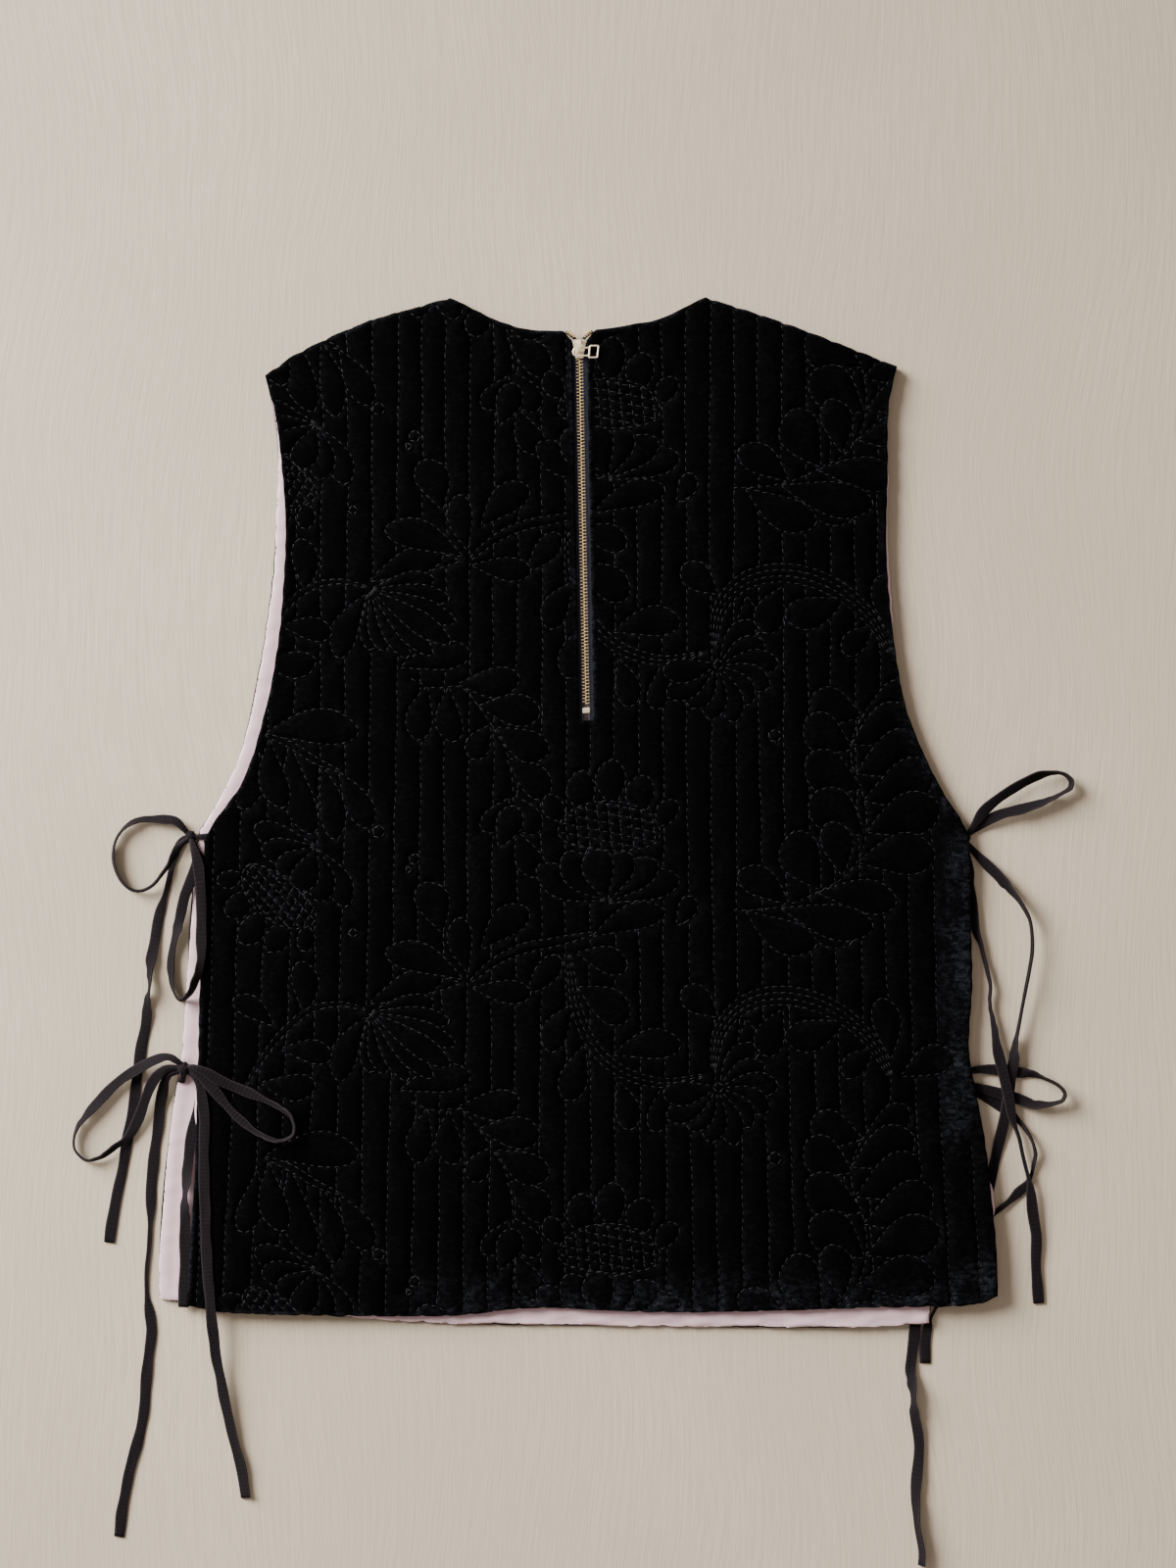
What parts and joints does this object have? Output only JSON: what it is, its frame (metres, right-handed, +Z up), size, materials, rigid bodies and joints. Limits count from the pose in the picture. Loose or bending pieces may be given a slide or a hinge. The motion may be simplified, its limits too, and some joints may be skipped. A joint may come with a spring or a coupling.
{
  "type": "quilted velvet waistcoat",
  "caption": "Quilted velvet waistcoat laid flat with its back up: back shell and lining over front lining and shell, half-length back zip, flat tape ties in bows at the open sides.",
  "frame": {"origin": "middle of the panels' outline, on the surface that the front panel lies on", "axes": "+Z up out of the surface, through the back panel; +Y towards the neck; +X towards the wearer's right, because the back is up"},
  "size_m": [0.5849, 0.7418, 0.0161],
  "materials": {
    "black_velvet": "cotton velvet pile, matt, faint blue-grey sheen at low angles",
    "pink_satin": "satin weave, soft shine",
    "cotton_tape": "flat woven cotton tape, matt",
    "zip_tape": "woven polyester tape, matt",
    "pale_gold": "bright pale-gold plating"
  },
  "bodies": {
    "garment": {"back_shell": "black_velvet", "front_shell": "black_velvet", "back_lining": "pink_satin", "front_lining": "pink_satin", "zip_tape_left": "zip_tape", "zip_tape_right": "zip_tape", "zip_chain": "pale_gold", "zip_chain_end_left": "pale_gold", "zip_chain_end_right": "pale_gold", "zip_slider": "pale_gold", "zip_stop": "pale_gold", "tie_upper_left_1_stem": "cotton_tape", "tie_upper_left_1_loop": "cotton_tape", "tie_upper_left_1_tail": "cotton_tape", "tie_upper_left_2_loop": "cotton_tape", "tie_upper_left_2_tail": "cotton_tape", "tie_lower_left_1_stem": "cotton_tape", "tie_lower_left_1_loop": "cotton_tape", "tie_lower_left_1_tail": "cotton_tape", "tie_lower_left_2_loop": "cotton_tape", "tie_lower_left_2_tail": "cotton_tape", "tie_upper_right_1_loop": "cotton_tape", "tie_upper_right_1_tail": "cotton_tape", "tie_upper_right_2_tail": "cotton_tape", "tie_lower_right_1_loop": "cotton_tape", "tie_lower_right_1_tail": "cotton_tape", "tie_lower_right_2_tail": "cotton_tape", "knot_upper_left": "cotton_tape", "knot_lower_left": "cotton_tape", "knot_upper_right": "cotton_tape", "knot_lower_right": "cotton_tape"},
    "pull": {"zip_pull": "pale_gold"}
  },
  "joints": [
    {"name": "pull_swivel", "type": "hinge", "parent": "garment", "child": "pull", "pos_m": [0.00104, 0.2684, 0.0092], "axis": [0, 0, 1], "range_deg": [-180, 0]}
  ]
}
